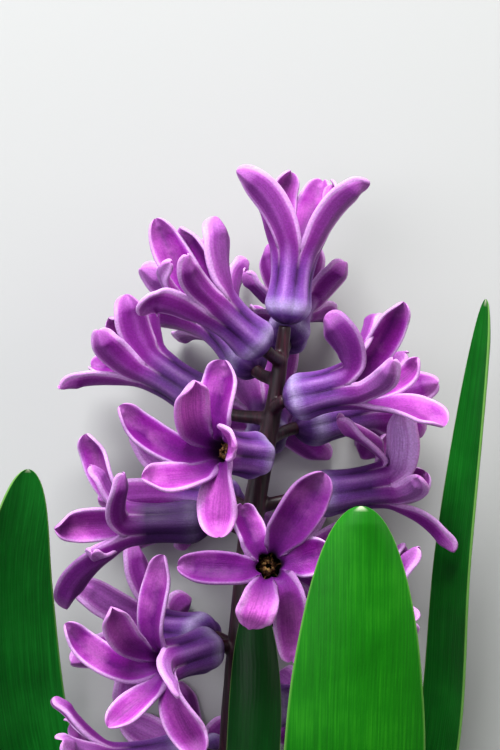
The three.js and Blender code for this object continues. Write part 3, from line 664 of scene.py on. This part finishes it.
def smooth_line(points, where):
    """Points of a smooth line that runs through the given points, at places from 0 to 1."""
    points = np.array(points, float)
    ends = np.array([2 * points[0] - points[1], *points, 2 * points[-1] - points[-2]])
    at = np.clip(np.asarray(where, float), 0, 1) * (len(points) - 1)
    part = np.minimum(at.astype(int), len(points) - 2)
    w = (at - part)[:, None]
    a, b, c, d = (ends[part + n] for n in range(4))
    start, end = (c - a) / 2, (d - b) / 2
    return b + start * w + (3 * (c - b) - 2 * start - end) * w ** 2 \
        + (2 * (b - c) + start + end) * w ** 3


# The scape is level in the head and sinks to the surface below it.
scape_points = [
    (x, y, -SCAPE_FOOT_DROP * smooth(-SCAPE_LEVEL_FROM, -SCAPE_FOOT, -y)) for x, y in SCAPE
]
fine_scape = smooth_line(scape_points, np.linspace(0, 1, 4001))


def scape_at(height):
    """The scape's middle at a height up it."""
    return np.array([np.interp(height, fine_scape[:, 1], fine_scape[:, n]) for n in range(3)])


print("scape from", fine_scape[0].round(1), "to", fine_scape[-1].round(1))

# %% Turn both kinds of note into points
draw = DRAW_SEED


def chance(spread):
    """A seeded draw between minus and plus the spread."""
    global draw
    draw = (draw * 1664525 + 1013904223) % 4294967296
    return spread * (draw / 2147483648 - 1)


def posed(base, mouth, turn, tips, tones):
    """Foot, mouth, turn, tips and tones of a floret that is set as it looks."""
    return seen(*base), seen(*mouth), turn, [
        (seen(*tip[:3]), *tip[3:], *(1, 1)[len(tip) - 5:]) for tip in tips
    ], tones


def plain(height, bearing, rise, reach, spread, turn):
    """Foot, mouth, turn, tips and tones of a floret that is placed by its bearing."""
    bearing, rise = math.radians(bearing), math.radians(rise)
    out = np.array([math.sin(bearing) * math.cos(rise), math.sin(rise),
                    math.cos(bearing) * math.cos(rise)])
    foot = scape_at(height) + out * reach
    throat = foot + out * TUBE_LENGTH
    right, up, _ = floret_frame(foot, throat)
    tips = []
    for k in range(LOBES):
        angle = math.radians(turn + chance(DRAW["turn"]) + 360 * k / LOBES)
        open_by = math.radians(spread + chance(DRAW["spread"]))
        length = PLAIN_LENGTH + LOBE_LENGTH * chance(DRAW["length"])
        aside = TUBE_RADIUS - WALL / 2 + length * math.sin(open_by)
        tip = throat + (right * math.cos(angle) + up * math.sin(angle)) * aside
        tip = tip + out * length * math.cos(open_by)
        tip[2] = max(tip[2], LOWEST_TIP)
        recurve = PLAIN_RECURVE + chance(DRAW["recurve"])
        tips.append((tip, recurve, chance(DRAW["twist"]), 1, 1))
    return foot, throat, turn, tips, PLAIN_TONES


florets = {"floret_" + name: posed(*notes) for name, notes in POSED.items()}
florets.update({"floret_" + name: plain(*notes) for name, notes in PLAIN.items()})
print(len(florets), "florets")


# %% Make the florets
SAME_PLACE = 0.004


def piece(name, points, faces, marks):
    """A mesh object from points in the head's frame, in millimetres, and what each point carries."""
    mesh = bpy.data.meshes.new(name)
    mesh.from_pydata((np.array(points) + HEAD) * MM, [], faces)
    for label, values in marks.items():
        values = np.array(values, np.float32)
        kind, value = ("FLOAT", "value") if values.ndim == 1 else ("FLOAT_VECTOR", "vector")
        mesh.attributes.new(label, kind, "POINT").data.foreach_set(value, values.ravel())
    return placed(name, mesh)


def tidy_mesh(made):
    """Merges points that lie on each other, and shades the mesh smoothly."""
    work = bmesh.new()
    work.from_mesh(made.data)
    bmesh.ops.remove_doubles(work, verts=work.verts, dist=SAME_PLACE * MM)
    bmesh.ops.dissolve_degenerate(work, edges=work.edges, dist=1e-9)
    work.to_mesh(made.data)
    work.free()
    made.data.shade_smooth()
    return made


def finish(made, slot, *nodes):
    """A finished piece rides on the flower and stands for its nodes. The slot is not used."""
    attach(made, "root")
    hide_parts(*nodes)


def misfit(made, cad_node):
    """How far a piece's box lies from its node's box at most, in millimetres."""
    low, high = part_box(cad_node)
    points = np.array([v.co for v in made.data.vertices])
    gaps = [*(points.min(0) - np.array(low)), *(np.array(high) - points.max(0))]
    return round(-min(gaps) / MM, 2), round(max(gaps) / MM, 2)


# How deep the painted shade is on the tubes of the first nine florets, from 0 to 1: deepest on those
# that lie under other florets.
TUBE_SHADE = dict(zip(florets, (0, 0.25, 0.55, 0.2, 0.9, 0.3, 0.5, 0.25, 0.6)))
TUBE_SHADE_ELSEWHERE = 0.35
FLORET_SEED = 11
rng = np.random.default_rng(FLORET_SEED)
for name, pose in florets.items():
    sheet = floret_mesh(*pose, rng)
    marks = np.c_[sheet.marks, np.full(len(sheet.marks), TUBE_SHADE.get(name, TUBE_SHADE_ELSEWHERE))]
    marks = dict(zip(MARKS, marks.T))
    made = tidy_mesh(piece(name + "_bloom", sheet.points, sheet.faces, marks))
    made.data.materials.append(petal)
    print(name, len(made.data.polygons), "faces, past and short of its node by", misfit(made, name))
    finish(made, "petal", name)

# %% [markdown]
# ## Anthers
# Six anthers stand on the tube's wall just below the mouth, one under each lobe. An anther is a pair
# of pollen sacs, and all are alike, so a Geometry Nodes tree makes one from two stretched spheres
# and puts it on every point. Each point carries two directions, up the tube and towards its middle,
# which turn the copy. Copies aren't exported, so the tree makes them real at its end.

# %% Anther skin and its tree
ANTHER_LENGTH = 3
ANTHER_WIDTH = 0.52
ANTHER_HEIGHT = TUBE_LENGTH - 2.4
ANTHER_STANDS_IN = 1.3
ANTHER_LEAN = 0.5
ANTHER_SEED = 11
FILAMENT_MIDDLE = (-0.6 * MM, 0, -0.9 * MM)
FILAMENT_SIZE = (0.7 * MM, 0.13 * MM, 0.13 * MM)

# Pollen is a dry powder, which looks grainy and takes away all shine. Its grains are 0.05 mm wide
# and are drawn ten times as wide, so that they show.
pollen, add = new_material("dusty_anther")
place = add("TexCoord", out="Object")
grain = add("TexNoise", place, Scale=1 / (0.5 * MM), Detail=4)
dust = add("ValToRGB", grain, stops={0.3: "#2a1c10", 0.45: "#5a3518", 0.58: "#8a6230", 0.72: "#b8a058"})
bump = add("Bump", Height=grain, Strength=0.6, Distance=0.15 * MM)
shader = add("BsdfPrincipled", Base_Color=dust, Roughness=0.8, Normal=bump)
add("OutputMaterial", shader)


def new_tree(name, *inputs):
    """A Geometry Nodes tree with geometry in and out, and named inputs as (name, kind, value)."""
    tree = bpy.data.node_groups.new(name, "GeometryNodeTree")
    tree.interface.new_socket("Geometry", in_out="INPUT", socket_type="NodeSocketGeometry")
    tree.interface.new_socket("Geometry", in_out="OUTPUT", socket_type="NodeSocketGeometry")
    for label, kind, value in inputs:
        socket = tree.interface.new_socket(label, in_out="INPUT", socket_type="NodeSocket" + kind)
        if value is not None:
            socket.default_value = value
    return tree, tree.nodes.new("NodeGroupInput").outputs, partial(node, tree)


def plain_mesh(made):
    """The mesh that an object's modifiers make of it, on its own."""
    bpy.context.view_layer.update()
    graph = bpy.context.evaluated_depsgraph_get()
    return bpy.data.meshes.new_from_object(made.evaluated_get(graph))


def grown(made, tree, **values):
    """Runs a tree on an object and keeps the plain mesh that comes out."""
    modifier = made.modifiers.new(tree.name, "NODES")
    modifier.node_group = tree
    for label, value in values.items():
        modifier[tree.interface.items_tree[label].identifier] = value
    name, mesh = made.name, plain_mesh(made)
    bpy.data.objects.remove(made)
    return placed(name, mesh)


anther_tree, source, add = new_tree(
    "anthers_on_points", ("Length", "Float", ANTHER_LENGTH * MM),
    ("Width", "Float", ANTHER_WIDTH * MM), ("Smallest", "Float", 0.7),
    ("Seed", "Int", ANTHER_SEED), ("Skin", "Material", None),
)
sac_size = add("CombineXYZ", source["Width"], source["Width"], add("MULTIPLY", source["Length"], 0.5))
ball = add("MeshUVSphere", Segments=12, Rings=8)
aside = add("MULTIPLY", source["Width"], 0.75)
sacs = []
for sign in (-1, 1):
    shift = add("CombineXYZ", None, add("MULTIPLY", aside, sign))
    sacs.append(add("Transform", ball, Translation=shift, Scale=sac_size))
pair = add("JoinGeometry", sacs)
tube_way = add("InputNamedAttribute FLOAT_VECTOR", "tube_way")
inward = add("InputNamedAttribute FLOAT_VECTOR", "inward")
turned = add("AlignRotationToVector", axis="Z", Vector=tube_way)
turned = add("AlignRotationToVector", turned, axis="X", pivot_axis="Z", Vector=inward)
growth = add("RandomValue", source["Smallest"], 1.1, Seed=source["Seed"])
copies = add("InstanceOnPoints", source["Geometry"], Instance=pair, Rotation=turned, Scale=growth)
# A short filament, which is the same for all, joins each anther to the wall.
filament = add("Transform", ball, Translation=FILAMENT_MIDDLE, Scale=FILAMENT_SIZE)
filaments = add("InstanceOnPoints", source["Geometry"], Instance=filament, Rotation=turned)
real = add("RealizeInstances", add("JoinGeometry", [copies, filaments]))
real = add("SetShadeSmooth", real)
add("GroupOutput", add("SetMaterial", real, Material=source["Skin"]))
print("anther tree:", len(anther_tree.nodes), "nodes")

# %% Anthers in every throat
rng = np.random.default_rng(ANTHER_SEED)
spots, ways, inwards = [], [], []
for foot, throat, turn, tips, tones in florets.values():
    right, up, out = floret_frame(foot, throat)
    length = np.linalg.norm(throat - foot) / TUBE_LENGTH
    for k in range(LOBES):
        angle = math.radians(turn) + 2 * math.pi * k / LOBES
        radial = right * math.cos(angle) + up * math.sin(angle)
        radius = tube_radius(ANTHER_HEIGHT) - wall(ANTHER_HEIGHT) - ANTHER_STANDS_IN
        height = ANTHER_HEIGHT + rng.uniform(-1.2, 0.3)
        spots.append(foot + radial * radius + out * height * length)
        ways.append(unit(out - ANTHER_LEAN * radial + rng.uniform(-0.25, 0.25, 3)))
        inwards.append(-radial)
anthers = piece("anthers", spots, [], {"tube_way": ways, "inward": inwards})
anthers = grown(anthers, anther_tree, Skin=pollen)
print(len(spots), "anthers,", len(anthers.data.polygons), "faces")
finish(anthers, "petal")

# %% [markdown]
# ## Stem
# The scape is a juicy stalk of dark maroon, painted nearly black as painted shade, with a short
# pedicel to each floret. All of them follow lines, so a tree sweeps a circle along curves whose
# points carry a radius. The swept rods only cross each other, so a voxel remesh then melts them into
# one skin with soft joints, as they grew. Its streaks run lengthwise, which noise stretched along Y
# gives.

# %% Stem skin
STREAK = 0.5

# The skin is thin and smooth over wet flesh, so it shines a little and lets some light in.
stalk, add = new_material("juicy_flower_stalk")
place = add("TexCoord", out="Object")
streaks = add("Mapping", place, Scale=(1, 0.06, 1))
streaks = add("TexNoise", streaks, Scale=1 / (STREAK * MM), Detail=3)
height = add("SeparateXYZ", place, out="Y")
# The stalk's own maroon is darkened nearly to black here: painted shade.
maroon_in_shade = add("ValToRGB", streaks, stops={0.3: "#12060c", 0.55: "#280c18", 0.75: "#45182a"})
green = add("ValToRGB", streaks, stops={0.3: "#1f3210", 0.7: "#43602a"})
foot_share = add("MapRange", height, (HEAD[1] - 90) * MM, (HEAD[1] - 20) * MM, 0.75, 0)
skin = add("Mix RGBA", foot_share, maroon_in_shade, green)
cut = add("MapRange", height, (HEAD[1] - 111.6) * MM, (HEAD[1] - 111.2) * MM, 1, 0)
skin = add("Mix RGBA", cut, skin, "#b9cf8e")
bump = add("Bump", Height=streaks, Strength=0.5, Distance=0.12 * MM)
shader = add("BsdfPrincipled", Base_Color=skin, Roughness=0.42, Normal=bump, IOR=1.4,
             Subsurface_Weight=0.08, Subsurface_Radius=(1, 0.4, 0.3), Subsurface_Scale=0.6 * MM)
add("OutputMaterial", shader)
print("stalk material:", len(stalk.node_tree.nodes), "nodes")

# %% Tree that sweeps the stem's rods
rod_tree, source, add = new_tree(
    "rods_along_lines", ("Step", "Float", 0.7 * MM), ("Sides", "Int", 20),
    ("Unevenness", "Float", 0.12 * MM), ("Skin", "Material", None),
)
line = add("ResampleCurve", source["Geometry"], mode="LENGTH", Length=source["Step"])
ring = add("CurvePrimitiveCircle", source["Sides"], Radius=1)
swept = add("CurveToMesh", line, ring, Fill_Caps=True, Scale=add("InputRadius"))
noise = add("SUBTRACT", add("TexNoise", Scale=1 / (3 * MM), Detail=2), 0.5)
noise = add("MULTIPLY", noise, source["Unevenness"])
swept = add("SetPosition", swept, Offset=add("VectorMath SCALE", add("InputNormal"), noise))
real = add("RealizeInstances", swept)
add("GroupOutput", add("SetMaterial", real, Material=source["Skin"]))
print("rod tree:", len(rod_tree.nodes), "nodes")

# %% Lines of the scape and the pedicels
SCAPE_FOOT_RADIUS = 3.3
SCAPE_HEAD_RADIUS = 2.4
SCAPE_TIP_RADIUS = 1.3
SCAPE_TAPER_FROM = 0.8
PEDICEL_RADIUS = 1.25
PEDICEL_LEAVES_BELOW = 2
SEAT = 0.35


def scape_radius(height):
    """The scape's radius at a height: a slow taper, then a faster one near the tip."""
    up = (height - SCAPE_FOOT) / (SCAPE_TIP - SCAPE_FOOT)
    slow = np.clip(up / SCAPE_TAPER_FROM, 0, 1)
    fast = np.clip((up - SCAPE_TAPER_FROM) / (1 - SCAPE_TAPER_FROM), 0, 1)
    radius = SCAPE_FOOT_RADIUS + (SCAPE_HEAD_RADIUS - SCAPE_FOOT_RADIUS) * slow
    return radius + (SCAPE_TIP_RADIUS - radius) * fast


def curve_object(name, lines):
    """A curve object of open lines, each a pair of points and radii in millimetres."""
    data = bpy.data.curves.new(name, "CURVE")
    data.dimensions = "3D"
    for points, radii in lines:
        spline = data.splines.new("POLY")
        spline.points.add(len(points) - 1)
        places = np.c_[(np.array(points) + HEAD) * MM, np.ones(len(points))]
        spline.points.foreach_set("co", places.ravel())
        spline.points.foreach_set("radius", np.array(radii) * MM)
    return placed(name, data)


scape_line = smooth_line(scape_points, np.linspace(0, 1, 240))
rods = [(scape_line, [scape_radius(y) for y in scape_line[:, 1]])]
s = np.linspace(0, 1, 16)
for name, (foot, throat, turn, tips, tones) in florets.items():
    if name == "floret_top":
        continue
    out = unit(throat - foot)
    start = scape_at(foot[1] - PEDICEL_LEAVES_BELOW)
    end = foot + out * SEAT
    reach = np.linalg.norm(end - start)
    path = bezier([start, start + (end - start) / 3, end - out * reach / 3, end], s)
    rods.append((path, PEDICEL_RADIUS * (1 + 0.35 * (1 - s) ** 3 + 0.12 * s ** 4)))
stem = grown(curve_object("stem_and_pedicels", rods), rod_tree, Skin=stalk)
print(len(rods), "rods,", len(stem.data.polygons), "faces")

# %% Melt the rods into one skin
VOXEL = 0.32

remesh = stem.modifiers.new("one skin", "REMESH")
remesh.mode = "VOXEL"
remesh.voxel_size = VOXEL * MM
soften = stem.modifiers.new("soft joints", "SMOOTH")
soften.factor = 0.5
soften.iterations = 6
mesh = plain_mesh(stem)
stem.modifiers.clear()
stem.data = mesh
mesh.materials.clear()
mesh.materials.append(stalk)
mesh.shade_smooth()
print("stem faces:", len(stem.data.polygons), "past and short of its node by", misfit(stem, "stem"))
finish(stem, "stem", "stem")

# %% [markdown]
# ## Leaves
# A hyacinth's leaf is a thick strap: it clasps the stem at its foot, opens to a shallow channel
# and ends in a blunt hooded tip with a pale callus. It follows its midrib, so a Geometry Nodes
# tree makes it: a sheet is rolled into a closed section, and every row of it takes its place,
# directions, width and thickness from one point of the midrib.

# %% Leaf skin
VEIN_SPACING = 0.7
LEAF_STEPS = 180
LEAF_MARKS = ("across", "along", "width", "bright")

# The skin bears a thin wax, which gives the eye a broad, soft shine over fine veins.
strap, add = new_material("waxy_strap_leaf")
across, along, width, bright = (
    add("Attribute", out="Fac", attribute_name=name) for name in LEAF_MARKS
)
place = add("TexCoord", out="Object")
cloud = add("TexNoise", place, Scale=1 / (14 * MM), Detail=4)
# The veins run along the leaf: the distance across it in millimetres counts them.
vein_place = add("MULTIPLY", across, width)
# The cloud bends the count, so that the spacing is uneven.
vein_wave = add("MULTIPLY_ADD", cloud, 2, vein_place)
vein_wave = add("SINE", add("MULTIPLY", vein_wave, 2 * math.pi / VEIN_SPACING))
# Near the tip the veins run together and sink into the flesh.
vein_wave = add("MULTIPLY", vein_wave, add("MapRange", along, 0.93, 0.985, 1, 0))
fibre = add("Mapping", add("CombineXYZ", vein_place, along), Scale=(1, 4, 1))
fibre = add("TexNoise", fibre, Scale=3, Detail=3)
tone = add("ADD", add("MULTIPLY", vein_wave, 0.02), cloud)
tone = add("MULTIPLY", add("ADD", tone, fibre), 0.5)
deep = add("ValToRGB", tone, stops={0.3: "#013a0a", 0.5: "#025211", 0.68: "#086a1c"})
fresh = add("ValToRGB", tone, stops={0.3: "#085702", 0.5: "#0f6c02", 0.68: "#238309"})
green = add("Mix RGBA", bright, deep, fresh)
# The heart leaf is shut in by the others, so painted shade makes it the darkest green.
green = add("Mix RGBA", add("MapRange", bright, 0, 0.1, 0.75, 0), green, "#012406")
middle = add("ABSOLUTE", across)
green = add("Mix RGBA", add("MapRange", middle, 0.95, 1, 0, 0.45), green, "#8fbf62")
callus = add("MapRange", along, 0.9955, 0.9995, 0, 0.6)
callus = add("MULTIPLY", callus, add("MapRange", middle, 0.25, 0.6, 1, 0))
green = add("Mix RGBA", callus, green, "#d5dfbb")
green = add("Mix RGBA", add("MapRange", along, 0, 0.14, 0.6, 0), green, "#a9c77c")
bump = add("Bump", Height=add("MULTIPLY_ADD", vein_wave, 0.4, fibre), Strength=0.3, Distance=0.07 * MM)
gloss = add("MapRange", cloud, 0.3, 0.7, 0.42, 0.55)
shader = add("BsdfPrincipled", Base_Color=green, Roughness=gloss, Normal=bump, IOR=1.45,
             Subsurface_Weight=0.1, Subsurface_Radius=(0.4, 1, 0.2), Subsurface_Scale=0.8 * MM,
             Specular_IOR_Level=0.18)
add("OutputMaterial", shader)
print("leaf material:", len(strap.node_tree.nodes), "nodes")

# %% Tree of a strap leaf
leaf_tree, source, add = new_tree(
    "strap_leaf", ("Points round", "Int", 64), ("Rows", "Int", LEAF_STEPS),
    ("Vein height", "Float", 0.006 * MM), ("Vein spacing", "Float", VEIN_SPACING * MM),
    ("Skin", "Material", None),
)
sheet = add("MeshGrid", 1, 1, add("ADD", source["Points round"], 1), source["Rows"])
flat = add("InputPosition")
angle = add("MULTIPLY", add("ADD", add("SeparateXYZ", flat), 0.5), 2 * math.pi)
t = add("MULTIPLY", add("COSINE", angle), -1)
skin_side = add("SINE", angle)
row_share = add("ADD", add("SeparateXYZ", flat, out="Y"), 0.5)
row = add("ROUND", add("MULTIPLY", row_share, add("SUBTRACT", source["Rows"], 1)))
ways = ("place", "side", "face")
at = {"across": t}
for label in (*ways, "bend", "spread", "thick", "rim", "along", "width", "bright"):
    kind = " FLOAT_VECTOR" if label in ways else " FLOAT"
    value = add("InputNamedAttribute" + kind, label)
    at[label] = add("SampleIndex" + kind, source["Geometry"], value, row)
t_square = add("MULTIPLY", t, t)
thick = add("MULTIPLY_ADD", add("SUBTRACT", at["rim"], at["thick"]), t_square, at["thick"])
half_thick = add("MULTIPLY", thick, 0.5)
# A power well under 1 keeps the thickness nearly even and rounds only the rims.
fullness = add("POWER", add("ABSOLUTE", skin_side), 0.3)
offset = add("MULTIPLY", add("MULTIPLY", fullness, add("SIGN", skin_side)), half_thick)
vein = add("MULTIPLY", add("MULTIPLY", t, at["width"]), 2 * math.pi * MM)
vein = add("COSINE", add("DIVIDE", vein, source["Vein spacing"]))
vein = add("MULTIPLY", vein, source["Vein height"])
arc = add("ADD", at["bend"], half_thick)
arc = add("ADD", add("ADD", arc, offset), vein)
turn_by = add("MULTIPLY", at["spread"], t)
aside = add("MULTIPLY", arc, add("SINE", turn_by))
rise = add("SUBTRACT", at["bend"], add("MULTIPLY", arc, add("COSINE", turn_by)))
aside = add("VectorMath SCALE", at["side"], aside)
rise = add("VectorMath SCALE", at["face"], rise)
point = add("VectorMath ADD", add("VectorMath ADD", at["place"], aside), rise)
for label in LEAF_MARKS:
    sheet = add("StoreNamedAttribute FLOAT", sheet, Name=label, Value=at[label])
formed = add("SetPosition", sheet, Position=point)
formed = add("MergeByDistance", formed, Distance=0.002 * MM)
real = add("RealizeInstances", add("SetShadeSmooth", formed))
add("GroupOutput", add("SetMaterial", real, Material=source["Skin"]))
print("leaf tree:", len(leaf_tree.nodes), "nodes")

# %% Midribs of the four leaves
LEAVES = {
    "leaf_left": dict(
        clasps=-94, half=9, wrap=5.9, hug=78, taper=0.72, bright=0.1,
        midrib=[(-12.4, -86, -23), (-20, -68, -23), (-33, -40, -22.5), (-45, -5, -18),
                (-48, 30, -10), (-44.8, 56, -4)],
        faces=[(1, 0, 0), (0.8, 0, 1), (0.35, 0, 1)]),
    "leaf_right": dict(
        clasps=94, half=7.5, wrap=5.9, hug=78, taper=0.6, bright=0.2,
        midrib=[(3.6, -86, -23), (11.6, -68, -23), (26, -40, -22.5), (39, -5, -18), (42, 40, -8),
                (47.2, 90.2, 0)],
        faces=[(-1, 0, 0), (-1, 0, 0.6), (-1, 0, 0.65)]),
    "leaf_front": dict(
        clasps=6, half=13.3, wrap=8.1, hug=36, taper=0.75, bright=0.9,
        midrib=[(-2.6, -86, -10.5), (0, -74, -4), (9, -44, 15), (18, -8, 33), (19.6, 20, 39),
                (20.1, 51.3, 41)],
        faces=[(-0.1, 0, -1), (-0.1, 0, -1), (0, 0.1, -1)]),
    # Bright 0 gives the heart leaf its painted shade.
    "leaf_centre": dict(
        clasps=0, half=5.2, wrap=3.7, hug=70, taper=0.82, bright=0,
        midrib=[(-4.2, -86, -16), (-3.4, -70, -11), (-1.6, -40, 0), (0, -10, 6), (1, 10, 7.4),
                (1, 31, 4.6)],
        faces=[(0, 0, -1), (0, 0, -1), (0, 0, -1)]),
}
LEAF_CLASP_TOP = -99
LEAF_THICK = 1.5
LEAF_EDGE = 0.8
LEAF_OPEN_FROM, LEAF_OPEN_AT, LEAF_OPEN_HUG = 0.17, 0.55, 22


def leaf_rows(clasps, midrib, faces, half, wrap, hug, taper, bright):
    """What the tree needs at each row of a leaf, in millimetres."""
    outward = np.array([math.sin(math.radians(clasps)), 0, math.cos(math.radians(clasps))])
    knots = [*(scape_at(h) + outward * wrap for h in (SCAPE_FOOT, LEAF_CLASP_TOP)), *midrib]
    x = np.linspace(0, 1, LEAF_STEPS - 1)
    along = 1 - (1 - x) ** 1.6
    line = smooth_line(knots, along)
    ahead = smooth_line(knots, np.minimum(along + 1e-4, 1))
    behind = smooth_line(knots, np.maximum(along - 1e-4, 0))
    direction = unit(ahead - behind)
    faces = np.array(faces, float)
    part = np.minimum(along * 2, 1.999)
    low = part.astype(int)
    face = faces[low] + (faces[low + 1] - faces[low]) * (part - low)[:, None]
    face = unit(face - direction * (face * direction).sum(1, keepdims=True))
    side = np.cross(face, direction)
    free = smooth(LEAF_OPEN_FROM, LEAF_OPEN_AT, along)
    foot_half = wrap * math.radians(hug)
    ending = np.sqrt(np.clip(1 - np.clip((along - taper) / (1 - taper), 0, 1) ** 2, 0, 1))
    wide = (foot_half + (half - foot_half) * free) * ending
    spread = np.radians(hug + (LEAF_OPEN_HUG - hug) * free)
    bend = wide / spread
    edge = np.minimum(1, ending * 3)
    rows = dict(place=line, side=side, face=face, bend=bend, spread=spread,
                thick=LEAF_THICK * edge, rim=LEAF_EDGE * edge, along=along,
                width=wide, bright=np.full(len(along), bright))
    # The cut end is closed by a first row with no thickness, in the middle of the wall.
    closing = {label: values[:1].copy() for label, values in rows.items()}
    closing["bend"] = closing["bend"] + LEAF_THICK / 2
    closing["place"] = closing["place"] - closing["face"] * LEAF_THICK / 2
    closing["thick"][:] = closing["rim"][:] = 0
    return {label: np.concatenate([closing[label], values]) for label, values in rows.items()}


for name, notes in LEAVES.items():
    rows = leaf_rows(**notes)
    points = rows["place"]
    rows["place"] = (points + HEAD) * MM
    for label in ("bend", "thick", "rim"):
        rows[label] = rows[label] * MM
    midrib = piece(name + "_strap", points, [], rows)
    made = grown(midrib, leaf_tree, Rows=LEAF_STEPS, Skin=strap)
    print(name, len(made.data.polygons), "faces, past and short of its node by", misfit(made, name))
    finish(made, "leaf", name)
